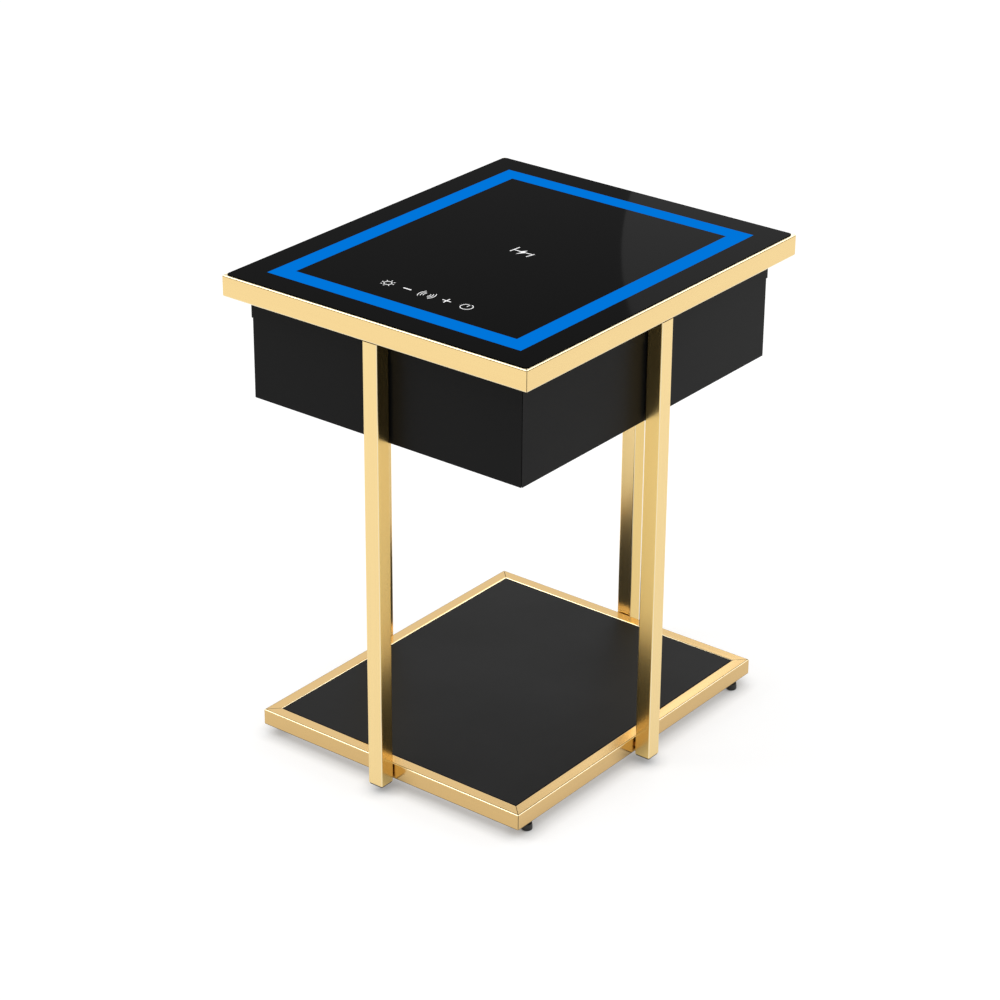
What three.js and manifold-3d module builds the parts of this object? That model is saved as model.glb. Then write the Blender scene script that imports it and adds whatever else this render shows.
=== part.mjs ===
// Side table with a built-in speaker, lit glass top and phone charger.
// Millimetres, +Z up. The origin lies on the floor under the middle of the table.
// -Y is the front, the side with the touch controls, and +X is the right.

import * as THREE from "three";
import { mergeVertices } from "three/addons/utils/BufferGeometryUtils.js";
import Module from "manifold-3d";

const wasm = await Module();
wasm.setup();

// Overall sizes
const TABLE_WIDTH = 420; // along X, over the top frame
const TABLE_DEPTH = 500; // along Y
const TABLE_HEIGHT = 580; // floor to glass

// Clearances between separate pieces
const FIT = 0.3; // pieces that rest on or fit in each other
const MITRE_GAP = 0.9; // seam where two pieces of a frame meet
const PANEL_GAP = 1; // shadow line round a panel set in a frame
const POST_GAP = 1.5; // shadow line between a post and the base frame
const BOX_POST_GAP = 1.5; // between a post and the lip of the speaker box

// Glass top
const GLASS_THICKNESS = 5;
const GLASS_CORNER_RADIUS = 5;
const GLASS_PROUD = 1; // above the frame round it

// Top frame, a folded angle section
const FRAME_HEIGHT = 25;
const FRAME_WALL = 2.5;
const FRAME_FLANGE = 36;
const FRAME_EDGE_RADIUS = 1.5;

// Light band under the glass
const BAND_INSET = 35; // from the outside of the frame
const BAND_WIDTH = 22;
const GUIDE_THICKNESS = 3;
const LED_TAPE_WIDTH = 10;
const LED_TAPE_THICKNESS = 1.5;
const LED_SIZE = 5;
const LED_HEIGHT = 1.5;
const LED_PITCH = 40;

// Touch controls and charger under the glass
const KEY_PITCH = 27;
const KEY_COUNT = 5;
const KEY_PAD_RADIUS = 7;
const KEY_ROW_INSET = 94; // from the front of the frame
const KEY_ROW_CENTRE_X = 2;
const BOARD_THICKNESS = 1.6;
const TOUCH_BOARD_DEPTH = 26;
const COIL_OUTER_RADIUS = 25;
const COIL_INNER_RADIUS = 10;
const COIL_TURNS = 4;
const COIL_WIRE = 2.4;
const FERRITE_MARGIN = 3;
const FERRITE_THICKNESS = 2;
const POCKET_CLEARANCE = 1;

// Speaker box
const BOX_HEIGHT = 122;
const BOX_WALL = 12;
const BOX_LIP_HEIGHT = 26;
const BOX_LIP = 1;
const BOX_FLOOR = 12;
const BOX_FLOOR_RECESS = 3;

// Speaker drivers, which fire down through the floor of the box
const DRIVER_INSET = 110; // from the end of the floor
const DRIVER_FLANGE_RADIUS = 52;
const DRIVER_FLANGE = 3;
const DRIVER_OPENING_RADIUS = 46;
const CONE_RADIUS = 41;
const CONE_TRAVEL = 2;
const CONE_THICKNESS = 1.2;
const COIL_FORMER_RADIUS = 13;
const COIL_FORMER_WALL = 1;
const MAGNET_GAP = 0.8;
const MAGNET_RADIUS = 34;
const MAGNET_HEIGHT = 15;
const BASKET_HEIGHT = 27;
const BASKET_WALL = 2;
const BASKET_WINDOWS = 6;
const BASKET_WINDOW_WIDTH = 16;

// Perforated grilles
const GRILLE_RADIUS = 52;
const GRILLE_THICKNESS = 1.5;
const GRILLE_PITCH = 12;
const GRILLE_HOLE_RADIUS = 3.8;
const GRILLE_RIM = 7;

// Amplifier board
const AMP_WIDTH = 110;
const AMP_DEPTH = 70;
const AMP_STANDOFF = 6;
const AMP_STANDOFF_RADIUS = 3;
const AMP_MARGIN = 6;
const HEATSINK_WIDTH = 50;
const HEATSINK_DEPTH = 24;
const HEATSINK_HEIGHT = 22;
const HEATSINK_BASE = 4;
const HEATSINK_FINS = 8;
const HEATSINK_FIN = 1.6;
const CAPACITOR_RADIUS = 7;
const CAPACITOR_HEIGHT = 20;

// Power inlet in the floor of the box
const INLET_FLANGE_RADIUS = 9;
const INLET_FLANGE = 2;
const INLET_BARREL_RADIUS = 5.5;
const INLET_BORE_RADIUS = 3.5;
const INLET_BORE_DEPTH = 14;
const INLET_PIN_RADIUS = 1;
const INLET_PIN_LENGTH = 6;
const INLET_BACK_INSET = 30; // from the back wall's inner face

// Posts, one in the middle of each side
const POST_SIZE = 20;
const POST_WALL = 1.2;
const TUBE_EDGE_RADIUS = 1.5;
const POST_BELOW_RAIL = 3;
const PLUG_HEAD = 1.5;
const PLUG_INSET = 0.8; // from the outside of the post
const PLUG_STEM = 14;
const PLUG_WALL = 2;

// Base frame
const RAIL_WIDTH = 15;
const RAIL_HEIGHT = 20;
const RAIL_WALL = 1.2;
const RAIL_FLOOR_GAP = 12;
const SHELF_THICKNESS = 6;
const SHELF_DROP = 0.5; // below the tops of the rails

// Bolts that hold the posts to the base frame
const BOLT_RADIUS = 3;
const BOLT_HEAD_RADIUS = 5.5;
const BOLT_HEAD_HEIGHT = 4;
const BOLT_BELOW_SHELF = 6.5; // bolt axis under the shelf's underside
const BOLT_END = 4; // beyond the post's wall
const BOSS_RADIUS = 7;

// Corner plates under the shelf
const PLATE_LEG = 42;
const PLATE_THICKNESS = 4;

// Levelling feet, screwed into nuts in the side rails
const FOOT_FROM_END = 25.5; // foot axis to the outside of the base frame, along Y
const FOOT_RADIUS = 6.5;
const FOOT_PAD_HEIGHT = 8;
const FOOT_SOCKET_RADIUS = 4;
const FOOT_SOCKET_WALL = 2;
const FOOT_SOCKET_DEPTH = 4;
const FOOT_NUT_RADIUS = 5;
const FOOT_NUT_HEIGHT = 8;
const STEM_RADIUS = 3;
const STEM_BALL_RADIUS = 3.5;
const STEM_HEX_RADIUS = 5.5;
const STEM_HEX_HEIGHT = 2.5;
const STEM_TOP_ROOM = 3; // under the top wall of the rail

// Where things come to, worked out from the sizes above
const frameTop = TABLE_HEIGHT - GLASS_PROUD;
const frameBottom = frameTop - FRAME_HEIGHT;
const flangeTop = frameBottom + FRAME_WALL;
const glassBottom = TABLE_HEIGHT - GLASS_THICKNESS;
const carrierBottom = flangeTop + FIT;
const carrierTop = glassBottom - FIT;
const boxTop = frameBottom - FIT;
const boxBottom = boxTop - BOX_HEIGHT;
const boxFloorBottom = boxBottom + BOX_FLOOR_RECESS;
const boxFloorTop = boxFloorBottom + BOX_FLOOR;
const railTop = RAIL_FLOOR_GAP + RAIL_HEIGHT;
const shelfTop = railTop - SHELF_DROP;
const shelfBottom = shelfTop - SHELF_THICKNESS;
const plateTop = shelfBottom - FIT;
const plateBottom = plateTop - PLATE_THICKNESS;
const postBottom = RAIL_FLOOR_GAP - POST_BELOW_RAIL;

const halfWidth = TABLE_WIDTH / 2;
const halfDepth = TABLE_DEPTH / 2;
const baseInset = POST_SIZE + POST_GAP;
const lipInset = POST_SIZE + BOX_POST_GAP;
const boxInset = lipInset + BOX_LIP;
const bandGroove = GUIDE_THICKNESS + LED_TAPE_THICKNESS + LED_HEIGHT + 3 * FIT;

// The four sides. Each is drawn as the front one is and turned into place.
const SIDES = [
  { name: "front", turn: 0, half: halfWidth, reach: halfDepth },
  { name: "right", turn: 1, half: halfDepth, reach: halfWidth },
  { name: "back", turn: 2, half: halfWidth, reach: halfDepth },
  { name: "left", turn: 3, half: halfDepth, reach: halfWidth },
];

// The four corners, by the signs of X and Y
const CORNERS = [
  { name: "front_left", x: -1, y: -1 },
  { name: "front_right", x: 1, y: -1 },
  { name: "back_right", x: 1, y: 1 },
  { name: "back_left", x: -1, y: 1 },
];

const MATERIALS = {
  glass: new THREE.MeshStandardMaterial({ color: 0x1b1b1d, roughness: 0.08, metalness: 0 }),
  gold: new THREE.MeshStandardMaterial({ color: 0xdcb76a, roughness: 0.22, metalness: 1 }),
  blackBoard: new THREE.MeshStandardMaterial({ color: 0x262626, roughness: 0.45, metalness: 0 }),
  rawBoard: new THREE.MeshStandardMaterial({ color: 0x8a6b4a, roughness: 0.8, metalness: 0 }),
  light: new THREE.MeshStandardMaterial({ color: 0x0078e6, roughness: 0.4, metalness: 0 }),
  circuit: new THREE.MeshStandardMaterial({ color: 0x1f5a37, roughness: 0.5, metalness: 0 }),
  tape: new THREE.MeshStandardMaterial({ color: 0xe9e9e4, roughness: 0.5, metalness: 0 }),
  copper: new THREE.MeshStandardMaterial({ color: 0xb5683a, roughness: 0.35, metalness: 1 }),
  ferrite: new THREE.MeshStandardMaterial({ color: 0x3a3a3c, roughness: 0.7, metalness: 0 }),
  plastic: new THREE.MeshStandardMaterial({ color: 0x151515, roughness: 0.5, metalness: 0 }),
  blackSteel: new THREE.MeshStandardMaterial({ color: 0x1d1d1f, roughness: 0.4, metalness: 0.8 }),
  paper: new THREE.MeshStandardMaterial({ color: 0x2b2b2d, roughness: 0.85, metalness: 0 }),
  zinc: new THREE.MeshStandardMaterial({ color: 0xa9abad, roughness: 0.35, metalness: 1 }),
};

const table = new THREE.Group();

function place(name, geometry, material, parent = table) {
  const mesh = new THREE.Mesh(geometry, material);
  mesh.name = name;
  parent.add(mesh);
  return mesh;
}

function solid(geometry) {
  const bare = geometry.clone();
  bare.deleteAttribute("normal");
  bare.deleteAttribute("uv");
  const merged = mergeVertices(bare, 1e-4);
  return new wasm.Manifold(new wasm.Mesh({
    numProp: 3,
    vertProperties: new Float32Array(merged.attributes.position.array),
    triVerts: new Uint32Array(merged.index.array),
  }));
}

function geometryOf(manifold) {
  const mesh = manifold.getMesh();
  const geometry = new THREE.BufferGeometry();
  geometry.setAttribute("position", new THREE.BufferAttribute(new Float32Array(mesh.vertProperties), 3));
  geometry.setIndex(new THREE.BufferAttribute(new Uint32Array(mesh.triVerts), 1));
  return geometry;
}

// One body from a first geometry, with others joined on and others cut away.
function shaped(first, { add = [], cut = [] }) {
  let body = solid(first);
  for (const piece of add) body = body.add(solid(piece));
  for (const piece of cut) body = body.subtract(solid(piece));
  return geometryOf(body);
}

// A block between two corners.
function block(x0, y0, z0, x1, y1, z1) {
  const geometry = new THREE.BoxGeometry(x1 - x0, y1 - y0, z1 - z0);
  return geometry.translate((x0 + x1) / 2, (y0 + y1) / 2, (z0 + z1) / 2);
}

// An upright round bar from z0 to z1.
function bar(radius, z0, z1, x = 0, y = 0, sides = 24) {
  const geometry = new THREE.CylinderGeometry(radius, radius, z1 - z0, sides);
  return geometry.rotateX(Math.PI / 2).translate(x, y, (z0 + z1) / 2);
}

// A turned piece: the profile is a list of [radius, height] that starts and ends on the axis.
function turned(profile, sides = 48) {
  const points = profile.map(([radius, height]) => new THREE.Vector2(radius, height));
  return new THREE.LatheGeometry(points, sides).rotateX(Math.PI / 2);
}

// Points along an arc, both ends included.
function arc(x, y, radius, from, to, steps) {
  const points = [];
  for (let i = 0; i <= steps; i += 1) {
    const angle = from + (to - from) * i / steps;
    points.push(new THREE.Vector2(x + radius * Math.cos(angle), y + radius * Math.sin(angle)));
  }
  return points;
}

function roundedRectangle(width, height, radius, steps = 3) {
  const x = width / 2 - radius;
  const y = height / 2 - radius;
  const quarter = Math.PI / 2;
  return new THREE.Shape([
    ...arc(x, -y, radius, -quarter, 0, steps),
    ...arc(x, y, radius, 0, quarter, steps),
    ...arc(-x, y, radius, quarter, 2 * quarter, steps),
    ...arc(-x, -y, radius, 2 * quarter, 3 * quarter, steps),
  ]);
}

// A rectangular tube's section, with rounded outer edges.
function tubeSection(width, height, wall) {
  const shape = roundedRectangle(width, height, TUBE_EDGE_RADIUS);
  const w = width / 2 - wall;
  const h = height / 2 - wall;
  shape.holes.push(new THREE.Path([
    new THREE.Vector2(-w, -h),
    new THREE.Vector2(-w, h),
    new THREE.Vector2(w, h),
    new THREE.Vector2(w, -h),
  ]));
  return shape;
}

// A straight piece along X whose section lies in Y and Z, with its outer face at y = 0 and its
// inside towards +Y. Both ends are mitred, so the piece gets shorter towards the inside. A section
// drawn about its own middle is moved by shiftY and shiftZ first.
function mitred(section, half, { gap = MITRE_GAP, shiftY = 0, shiftZ = 0 } = {}) {
  const geometry = new THREE.ExtrudeGeometry(section, { depth: 2, bevelEnabled: false });
  const position = geometry.attributes.position;
  for (let i = 0; i < position.count; i += 1) {
    const y = position.getX(i) + shiftY;
    const z = position.getY(i) + shiftZ;
    const end = position.getZ(i) - 1;
    position.setXYZ(i, end * (half - y - gap / 2), y, z);
  }
  return geometry;
}

// The side's own group, turned so that its local -Y points outwards.
function sideGroup(side) {
  const group = new THREE.Group();
  group.rotation.z = side.turn * Math.PI / 2;
  table.add(group);
  return group;
}

// Glass top
function glassTop() {
  const inset = FRAME_WALL + FIT;
  const shape = roundedRectangle(TABLE_WIDTH - 2 * inset, TABLE_DEPTH - 2 * inset, GLASS_CORNER_RADIUS, 8);
  const geometry = new THREE.ExtrudeGeometry(shape, { depth: GLASS_THICKNESS, bevelEnabled: false });
  return geometry.translate(0, 0, glassBottom);
}
place("glass_top", glassTop(), MATERIALS.glass);

// Top frame: a wall round the glass and a flange that carries the board and the box
function angleSection() {
  const r = FRAME_EDGE_RADIUS;
  return new THREE.Shape([
    new THREE.Vector2(FRAME_FLANGE, 0),
    new THREE.Vector2(FRAME_FLANGE, FRAME_WALL),
    new THREE.Vector2(FRAME_WALL, FRAME_WALL),
    new THREE.Vector2(FRAME_WALL, FRAME_HEIGHT),
    ...arc(r, FRAME_HEIGHT - r, r, Math.PI / 2, Math.PI, 3),
    ...arc(r, r, r, Math.PI, 1.5 * Math.PI, 3),
  ]);
}

// A web under the top edge at each mitre, cut round like the corner of the glass that it borders
function cornerWebSection() {
  const inner = FRAME_WALL + FIT + GLASS_CORNER_RADIUS;
  const bottom = glassBottom - frameBottom;
  return new THREE.Shape([
    new THREE.Vector2(FRAME_EDGE_RADIUS, bottom),
    new THREE.Vector2(inner, bottom),
    new THREE.Vector2(inner, FRAME_HEIGHT),
    new THREE.Vector2(FRAME_EDGE_RADIUS, FRAME_HEIGHT),
  ]);
}

function topFrame(side) {
  const inset = 2 * FRAME_WALL;
  const outline = roundedRectangle(2 * side.half - inset, 2 * side.reach - inset, GLASS_CORNER_RADIUS + FIT, 4);
  const pocket = new THREE.ExtrudeGeometry(outline, { depth: FRAME_HEIGHT, bevelEnabled: false });
  pocket.translate(0, side.reach, glassBottom - frameBottom - FIT);
  return shaped(mitred(angleSection(), side.half), {
    add: [mitred(cornerWebSection(), side.half)],
    cut: [pocket],
  });
}
for (const side of SIDES) {
  const rail = place(`top_frame_${side.name}`, topFrame(side), MATERIALS.gold, sideGroup(side));
  rail.position.set(0, -side.reach, frameBottom);
}

// Light band: a diffuser bar on each side with a tape of lamps under it
const bandHalfWidth = halfWidth - BAND_INSET;
const bandHalfDepth = halfDepth - BAND_INSET;
const guideTop = glassBottom - FIT;
const guideBottom = guideTop - GUIDE_THICKNESS;
const tapeTop = guideBottom - FIT - LED_HEIGHT;
for (const side of SIDES) {
  const group = sideGroup(side);
  const half = side.half - BAND_INSET;
  const front = -(side.reach - BAND_INSET);
  const strip = new THREE.Shape([
    new THREE.Vector2(0, 0),
    new THREE.Vector2(BAND_WIDTH, 0),
    new THREE.Vector2(BAND_WIDTH, GUIDE_THICKNESS),
    new THREE.Vector2(0, GUIDE_THICKNESS),
  ]);
  const guide = place(`light_guide_${side.name}`, mitred(strip, half, { gap: FIT }), MATERIALS.light, group);
  guide.position.set(0, front, guideBottom);

  const tapeHalf = half - BAND_WIDTH;
  const middle = front + BAND_WIDTH / 2;
  const tape = block(-tapeHalf, middle - LED_TAPE_WIDTH / 2, tapeTop - LED_TAPE_THICKNESS,
    tapeHalf, middle + LED_TAPE_WIDTH / 2, tapeTop);
  const lamps = [];
  const count = Math.floor((2 * tapeHalf - LED_SIZE) / LED_PITCH) + 1;
  for (let i = 0; i < count; i += 1) {
    const x = (i - (count - 1) / 2) * LED_PITCH;
    lamps.push(block(x - LED_SIZE / 2, middle - LED_SIZE / 2, tapeTop - LED_TAPE_THICKNESS / 2,
      x + LED_SIZE / 2, middle + LED_SIZE / 2, tapeTop + LED_HEIGHT));
  }
  place(`led_tape_${side.name}`, shaped(tape, { add: lamps }), MATERIALS.tape, group);
}

// Board that carries the glass, with a groove for the light band and pockets for the electronics
const keyRowY = -halfDepth + KEY_ROW_INSET;
const touchBoardHalf = (KEY_COUNT * KEY_PITCH) / 2;
const touchBoardTop = glassBottom - 2 * FIT;
const touchBoardBottom = touchBoardTop - BOARD_THICKNESS;
const ferriteRadius = COIL_OUTER_RADIUS + FERRITE_MARGIN;
const coilTop = glassBottom - 2 * FIT;
const coilBottom = coilTop - COIL_WIRE;
const ferriteTop = coilBottom - FIT;
const ferriteBottom = ferriteTop - FERRITE_THICKNESS;

function carrierBoard() {
  const inset = FRAME_WALL + FIT;
  const board = block(-halfWidth + inset, -halfDepth + inset, carrierBottom,
    halfWidth - inset, halfDepth - inset, carrierTop);
  const above = carrierTop + 1;
  const grooveBottom = carrierTop - bandGroove;
  const outerX = bandHalfWidth + FIT;
  const outerY = bandHalfDepth + FIT;
  const innerX = bandHalfWidth - BAND_WIDTH - FIT;
  const innerY = bandHalfDepth - BAND_WIDTH - FIT;
  const cut = [
    block(-outerX, -outerY, grooveBottom, outerX, -innerY, above),
    block(-outerX, innerY, grooveBottom, outerX, outerY, above),
    block(-outerX, -outerY, grooveBottom, -innerX, outerY, above),
    block(innerX, -outerY, grooveBottom, outerX, outerY, above),
    block(KEY_ROW_CENTRE_X - touchBoardHalf - POCKET_CLEARANCE,
      keyRowY - TOUCH_BOARD_DEPTH / 2 - POCKET_CLEARANCE, touchBoardBottom - FIT,
      KEY_ROW_CENTRE_X + touchBoardHalf + POCKET_CLEARANCE,
      keyRowY + TOUCH_BOARD_DEPTH / 2 + POCKET_CLEARANCE, above),
    bar(ferriteRadius + POCKET_CLEARANCE, ferriteBottom - FIT, above, 0, 0, 48),
  ];
  return shaped(board, { cut });
}
place("carrier_board", carrierBoard(), MATERIALS.rawBoard);

// Touch board: a sensing pad stands under each control
function touchBoard() {
  const padHeight = FIT;
  const board = block(KEY_ROW_CENTRE_X - touchBoardHalf, keyRowY - TOUCH_BOARD_DEPTH / 2, touchBoardBottom,
    KEY_ROW_CENTRE_X + touchBoardHalf, keyRowY + TOUCH_BOARD_DEPTH / 2, touchBoardTop - padHeight);
  const pads = [];
  for (let i = 0; i < KEY_COUNT; i += 1) {
    const x = KEY_ROW_CENTRE_X + (i - (KEY_COUNT - 1) / 2) * KEY_PITCH;
    pads.push(bar(KEY_PAD_RADIUS, touchBoardBottom + padHeight, touchBoardTop, x, keyRowY, 16));
  }
  return shaped(board, { add: pads });
}
place("touch_board", touchBoard(), MATERIALS.circuit);

// Charging coil: a flat winding of round turns joined by a strap, over a ferrite shield
function chargingCoil() {
  const pitch = (COIL_OUTER_RADIUS - COIL_INNER_RADIUS) / COIL_TURNS;
  const groove = pitch / 4;
  const top = [];
  for (let i = 0; i < COIL_TURNS; i += 1) {
    const inner = COIL_INNER_RADIUS + i * pitch;
    top.push([inner, COIL_WIRE / 2], [inner + groove, COIL_WIRE], [inner + pitch - groove, COIL_WIRE]);
  }
  const profile = [
    [COIL_INNER_RADIUS, 0],
    [COIL_OUTER_RADIUS, 0],
    [COIL_OUTER_RADIUS, COIL_WIRE / 2],
    ...top.reverse(),
    [COIL_INNER_RADIUS, 0],
  ];
  return turned(profile, 20).translate(0, 0, coilBottom);
}
place("charging_coil", chargingCoil(), MATERIALS.copper);
place("charging_ferrite", bar(ferriteRadius, ferriteBottom, ferriteTop, 0, 0, 40), MATERIALS.ferrite);

// Speaker box: four mitred walls with a lip along their tops
const boxHalfWidth = halfWidth - boxInset;
const boxHalfDepth = halfDepth - boxInset;
const wallSection = new THREE.Shape([
  new THREE.Vector2(BOX_LIP, 0),
  new THREE.Vector2(BOX_LIP + BOX_WALL, 0),
  new THREE.Vector2(BOX_LIP + BOX_WALL, BOX_HEIGHT),
  new THREE.Vector2(0, BOX_HEIGHT),
  new THREE.Vector2(0, BOX_HEIGHT - BOX_LIP_HEIGHT),
  new THREE.Vector2(BOX_LIP, BOX_HEIGHT - BOX_LIP_HEIGHT),
]);
for (const side of SIDES) {
  const geometry = mitred(wallSection, side.half - lipInset);
  const wall = place(`box_wall_${side.name}`, geometry, MATERIALS.blackBoard, sideGroup(side));
  wall.position.set(0, lipInset - side.reach, boxBottom);
}

// Floor of the box, with the openings for the drivers and the power inlet
const floorHalfWidth = boxHalfWidth - BOX_WALL - FIT;
const floorHalfDepth = boxHalfDepth - BOX_WALL - FIT;
const inletY = floorHalfDepth - INLET_BACK_INSET;
const DRIVERS = [
  { name: "front", y: DRIVER_INSET - floorHalfDepth },
  { name: "back", y: floorHalfDepth - DRIVER_INSET },
];

function boxFloor() {
  const board = block(-floorHalfWidth, -floorHalfDepth, boxFloorBottom, floorHalfWidth, floorHalfDepth, boxFloorTop);
  const cut = DRIVERS.map(({ y }) => bar(DRIVER_OPENING_RADIUS, boxFloorBottom - 1, boxFloorTop + 1, 0, y, 32));
  cut.push(bar(INLET_BARREL_RADIUS + FIT, boxFloorBottom - 1, boxFloorTop + 1, -floorHalfWidth / 2, inletY, 24));
  return shaped(board, { cut });
}
place("box_floor", boxFloor(), MATERIALS.blackBoard);

// Driver chassis: flange, rolled surround, open basket and magnet. Heights run from the flange's
// front face up into the box.
const surroundInner = CONE_RADIUS + 2 * FIT;
const surroundOuter = DRIVER_OPENING_RADIUS - FIT;
const gapInner = COIL_FORMER_RADIUS - COIL_FORMER_WALL - MAGNET_GAP;
const gapOuter = COIL_FORMER_RADIUS + MAGNET_GAP;
const basketNeck = (COIL_FORMER_RADIUS + MAGNET_RADIUS) / 2;
const basketShoulder = DRIVER_FLANGE + CONE_THICKNESS + 2 * CONE_TRAVEL + BASKET_WALL;
const magnetTop = BASKET_HEIGHT + MAGNET_HEIGHT;

function driverChassis() {
  const roll = (surroundOuter - surroundInner) / 2;
  const wallInner = surroundInner + 2 * FIT;
  const rolled = arc(surroundInner + roll, 0, roll, -Math.PI, 0, 4).map(({ x, y }) => [x, y]);
  const body = turned([
    [0, BASKET_HEIGHT],
    [gapInner, BASKET_HEIGHT],
    [gapInner, magnetTop],
    [gapOuter, magnetTop],
    [gapOuter, BASKET_HEIGHT],
    [basketNeck, BASKET_HEIGHT],
    [wallInner, basketShoulder],
    [wallInner, DRIVER_FLANGE / 2],
    [surroundInner, DRIVER_FLANGE / 2],
    ...rolled,
    [DRIVER_FLANGE_RADIUS, 0],
    [DRIVER_FLANGE_RADIUS, DRIVER_FLANGE],
    [wallInner + BASKET_WALL, DRIVER_FLANGE],
    [wallInner + BASKET_WALL, basketShoulder + BASKET_WALL / 2],
    [basketNeck + BASKET_WALL, BASKET_HEIGHT + BASKET_WALL / 2],
    [MAGNET_RADIUS, BASKET_HEIGHT + BASKET_WALL / 2],
    [MAGNET_RADIUS, magnetTop + 2 * BASKET_WALL],
    [0, magnetTop + 2 * BASKET_WALL],
  ], 24);
  const cut = [];
  for (let i = 0; i < BASKET_WINDOWS; i += 1) {
    const window = block(basketNeck, -BASKET_WINDOW_WIDTH / 2, basketShoulder + BASKET_WALL,
      DRIVER_FLANGE_RADIUS, BASKET_WINDOW_WIDTH / 2, BASKET_HEIGHT - BASKET_WALL);
    cut.push(window.rotateZ(2 * Math.PI * i / BASKET_WINDOWS));
  }
  return shaped(body, { cut });
}

// Moving cone with its dust cap and voice coil former
function driverCone() {
  const neck = BASKET_HEIGHT - 4 * CONE_TRAVEL;
  const rim = DRIVER_FLANGE / 2;
  const former = COIL_FORMER_RADIUS;
  const inside = former - COIL_FORMER_WALL;
  return turned([
    [0, neck - 7],
    [former / 2, neck - 6],
    [former, neck - 2],
    [CONE_RADIUS, rim - CONE_THICKNESS],
    [CONE_RADIUS, rim],
    [former + CONE_THICKNESS, neck],
    [former, neck + CONE_THICKNESS],
    [former, magnetTop - 2 * CONE_TRAVEL],
    [inside, magnetTop - 2 * CONE_TRAVEL],
    [inside, neck - 1],
    [former / 2, neck - 6 + CONE_THICKNESS],
    [0, neck - 7 + CONE_THICKNESS],
  ], 20);
}

// Flat grille with holes in a triangular pattern
function grille() {
  const shape = new THREE.Shape(arc(0, 0, GRILLE_RADIUS, 0, 2 * Math.PI, 32).slice(1));
  const rowHeight = GRILLE_PITCH * Math.sqrt(3) / 2;
  const reach = GRILLE_RADIUS - GRILLE_RIM - GRILLE_HOLE_RADIUS;
  const rows = Math.floor(reach / rowHeight);
  const columns = Math.ceil(reach / GRILLE_PITCH);
  for (let row = -rows; row <= rows; row += 1) {
    for (let column = -columns; column <= columns; column += 1) {
      const x = (column + (Math.abs(row) % 2) / 2) * GRILLE_PITCH;
      const y = row * rowHeight;
      if (Math.hypot(x, y) > reach) continue;
      shape.holes.push(new THREE.Path(arc(x, y, GRILLE_HOLE_RADIUS, 0, -2 * Math.PI, 8).slice(1)));
    }
  }
  return new THREE.ExtrudeGeometry(shape, { depth: GRILLE_THICKNESS, bevelEnabled: false });
}

const chassisGeometry = driverChassis();
const coneGeometry = driverCone();
const grilleGeometry = grille();
for (const driver of DRIVERS) {
  const seat = boxFloorTop + FIT;
  place(`speaker_chassis_${driver.name}`, chassisGeometry, MATERIALS.blackSteel).position.set(0, driver.y, seat);
  place(`speaker_cone_${driver.name}`, coneGeometry, MATERIALS.paper).position.set(0, driver.y, seat);
  place(`speaker_grille_${driver.name}`, grilleGeometry, MATERIALS.blackSteel)
    .position.set(0, driver.y, boxFloorBottom - FIT - GRILLE_THICKNESS);
}

// Amplifier board on standoffs, with a finned heatsink and two capacitors
function amplifier() {
  const bottom = AMP_STANDOFF;
  const top = bottom + BOARD_THICKNESS;
  const board = block(-AMP_WIDTH / 2, -AMP_DEPTH / 2, bottom, AMP_WIDTH / 2, AMP_DEPTH / 2, top);
  const add = [];
  for (const { x, y } of CORNERS) {
    add.push(bar(AMP_STANDOFF_RADIUS, 0, bottom + BOARD_THICKNESS / 2,
      x * (AMP_WIDTH / 2 - AMP_MARGIN), y * (AMP_DEPTH / 2 - AMP_MARGIN), 12));
  }
  const sinkY = AMP_DEPTH / 2 - AMP_MARGIN - HEATSINK_DEPTH;
  add.push(block(-HEATSINK_WIDTH / 2, sinkY, top - BOARD_THICKNESS / 2,
    HEATSINK_WIDTH / 2, sinkY + HEATSINK_DEPTH, top + HEATSINK_BASE));
  for (let i = 0; i < HEATSINK_FINS; i += 1) {
    const x = -HEATSINK_WIDTH / 2 + (HEATSINK_WIDTH - HEATSINK_FIN) * i / (HEATSINK_FINS - 1);
    add.push(block(x, sinkY, top, x + HEATSINK_FIN, sinkY + HEATSINK_DEPTH, top + HEATSINK_HEIGHT));
  }
  for (const sign of [-1, 1]) {
    add.push(bar(CAPACITOR_RADIUS, top - BOARD_THICKNESS / 2, top + CAPACITOR_HEIGHT,
      sign * (CAPACITOR_RADIUS + AMP_MARGIN / 2), -AMP_DEPTH / 4, 20));
  }
  return shaped(board, { add });
}
place("amplifier_board", amplifier(), MATERIALS.circuit)
  .position.set(floorHalfWidth - AMP_MARGIN - AMP_WIDTH / 2, 0, boxFloorTop + FIT);

// Round power inlet, open downwards, with a centre pin set back in its bore
function powerInlet() {
  const top = INLET_FLANGE + BOX_FLOOR + 2 * FIT + BOARD_THICKNESS;
  const boreTop = Math.min(INLET_BORE_DEPTH, top - BOARD_THICKNESS);
  return turned([
    [0, boreTop - INLET_PIN_LENGTH],
    [INLET_PIN_RADIUS, boreTop - INLET_PIN_LENGTH],
    [INLET_PIN_RADIUS, boreTop],
    [INLET_BORE_RADIUS, boreTop],
    [INLET_BORE_RADIUS, 0],
    [INLET_FLANGE_RADIUS, 0],
    [INLET_FLANGE_RADIUS, INLET_FLANGE],
    [INLET_BARREL_RADIUS, INLET_FLANGE],
    [INLET_BARREL_RADIUS, top],
    [0, top],
  ], 16);
}
place("power_inlet", powerInlet(), MATERIALS.plastic)
  .position.set(-floorHalfWidth / 2, inletY, boxFloorBottom - FIT - INLET_FLANGE);

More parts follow.
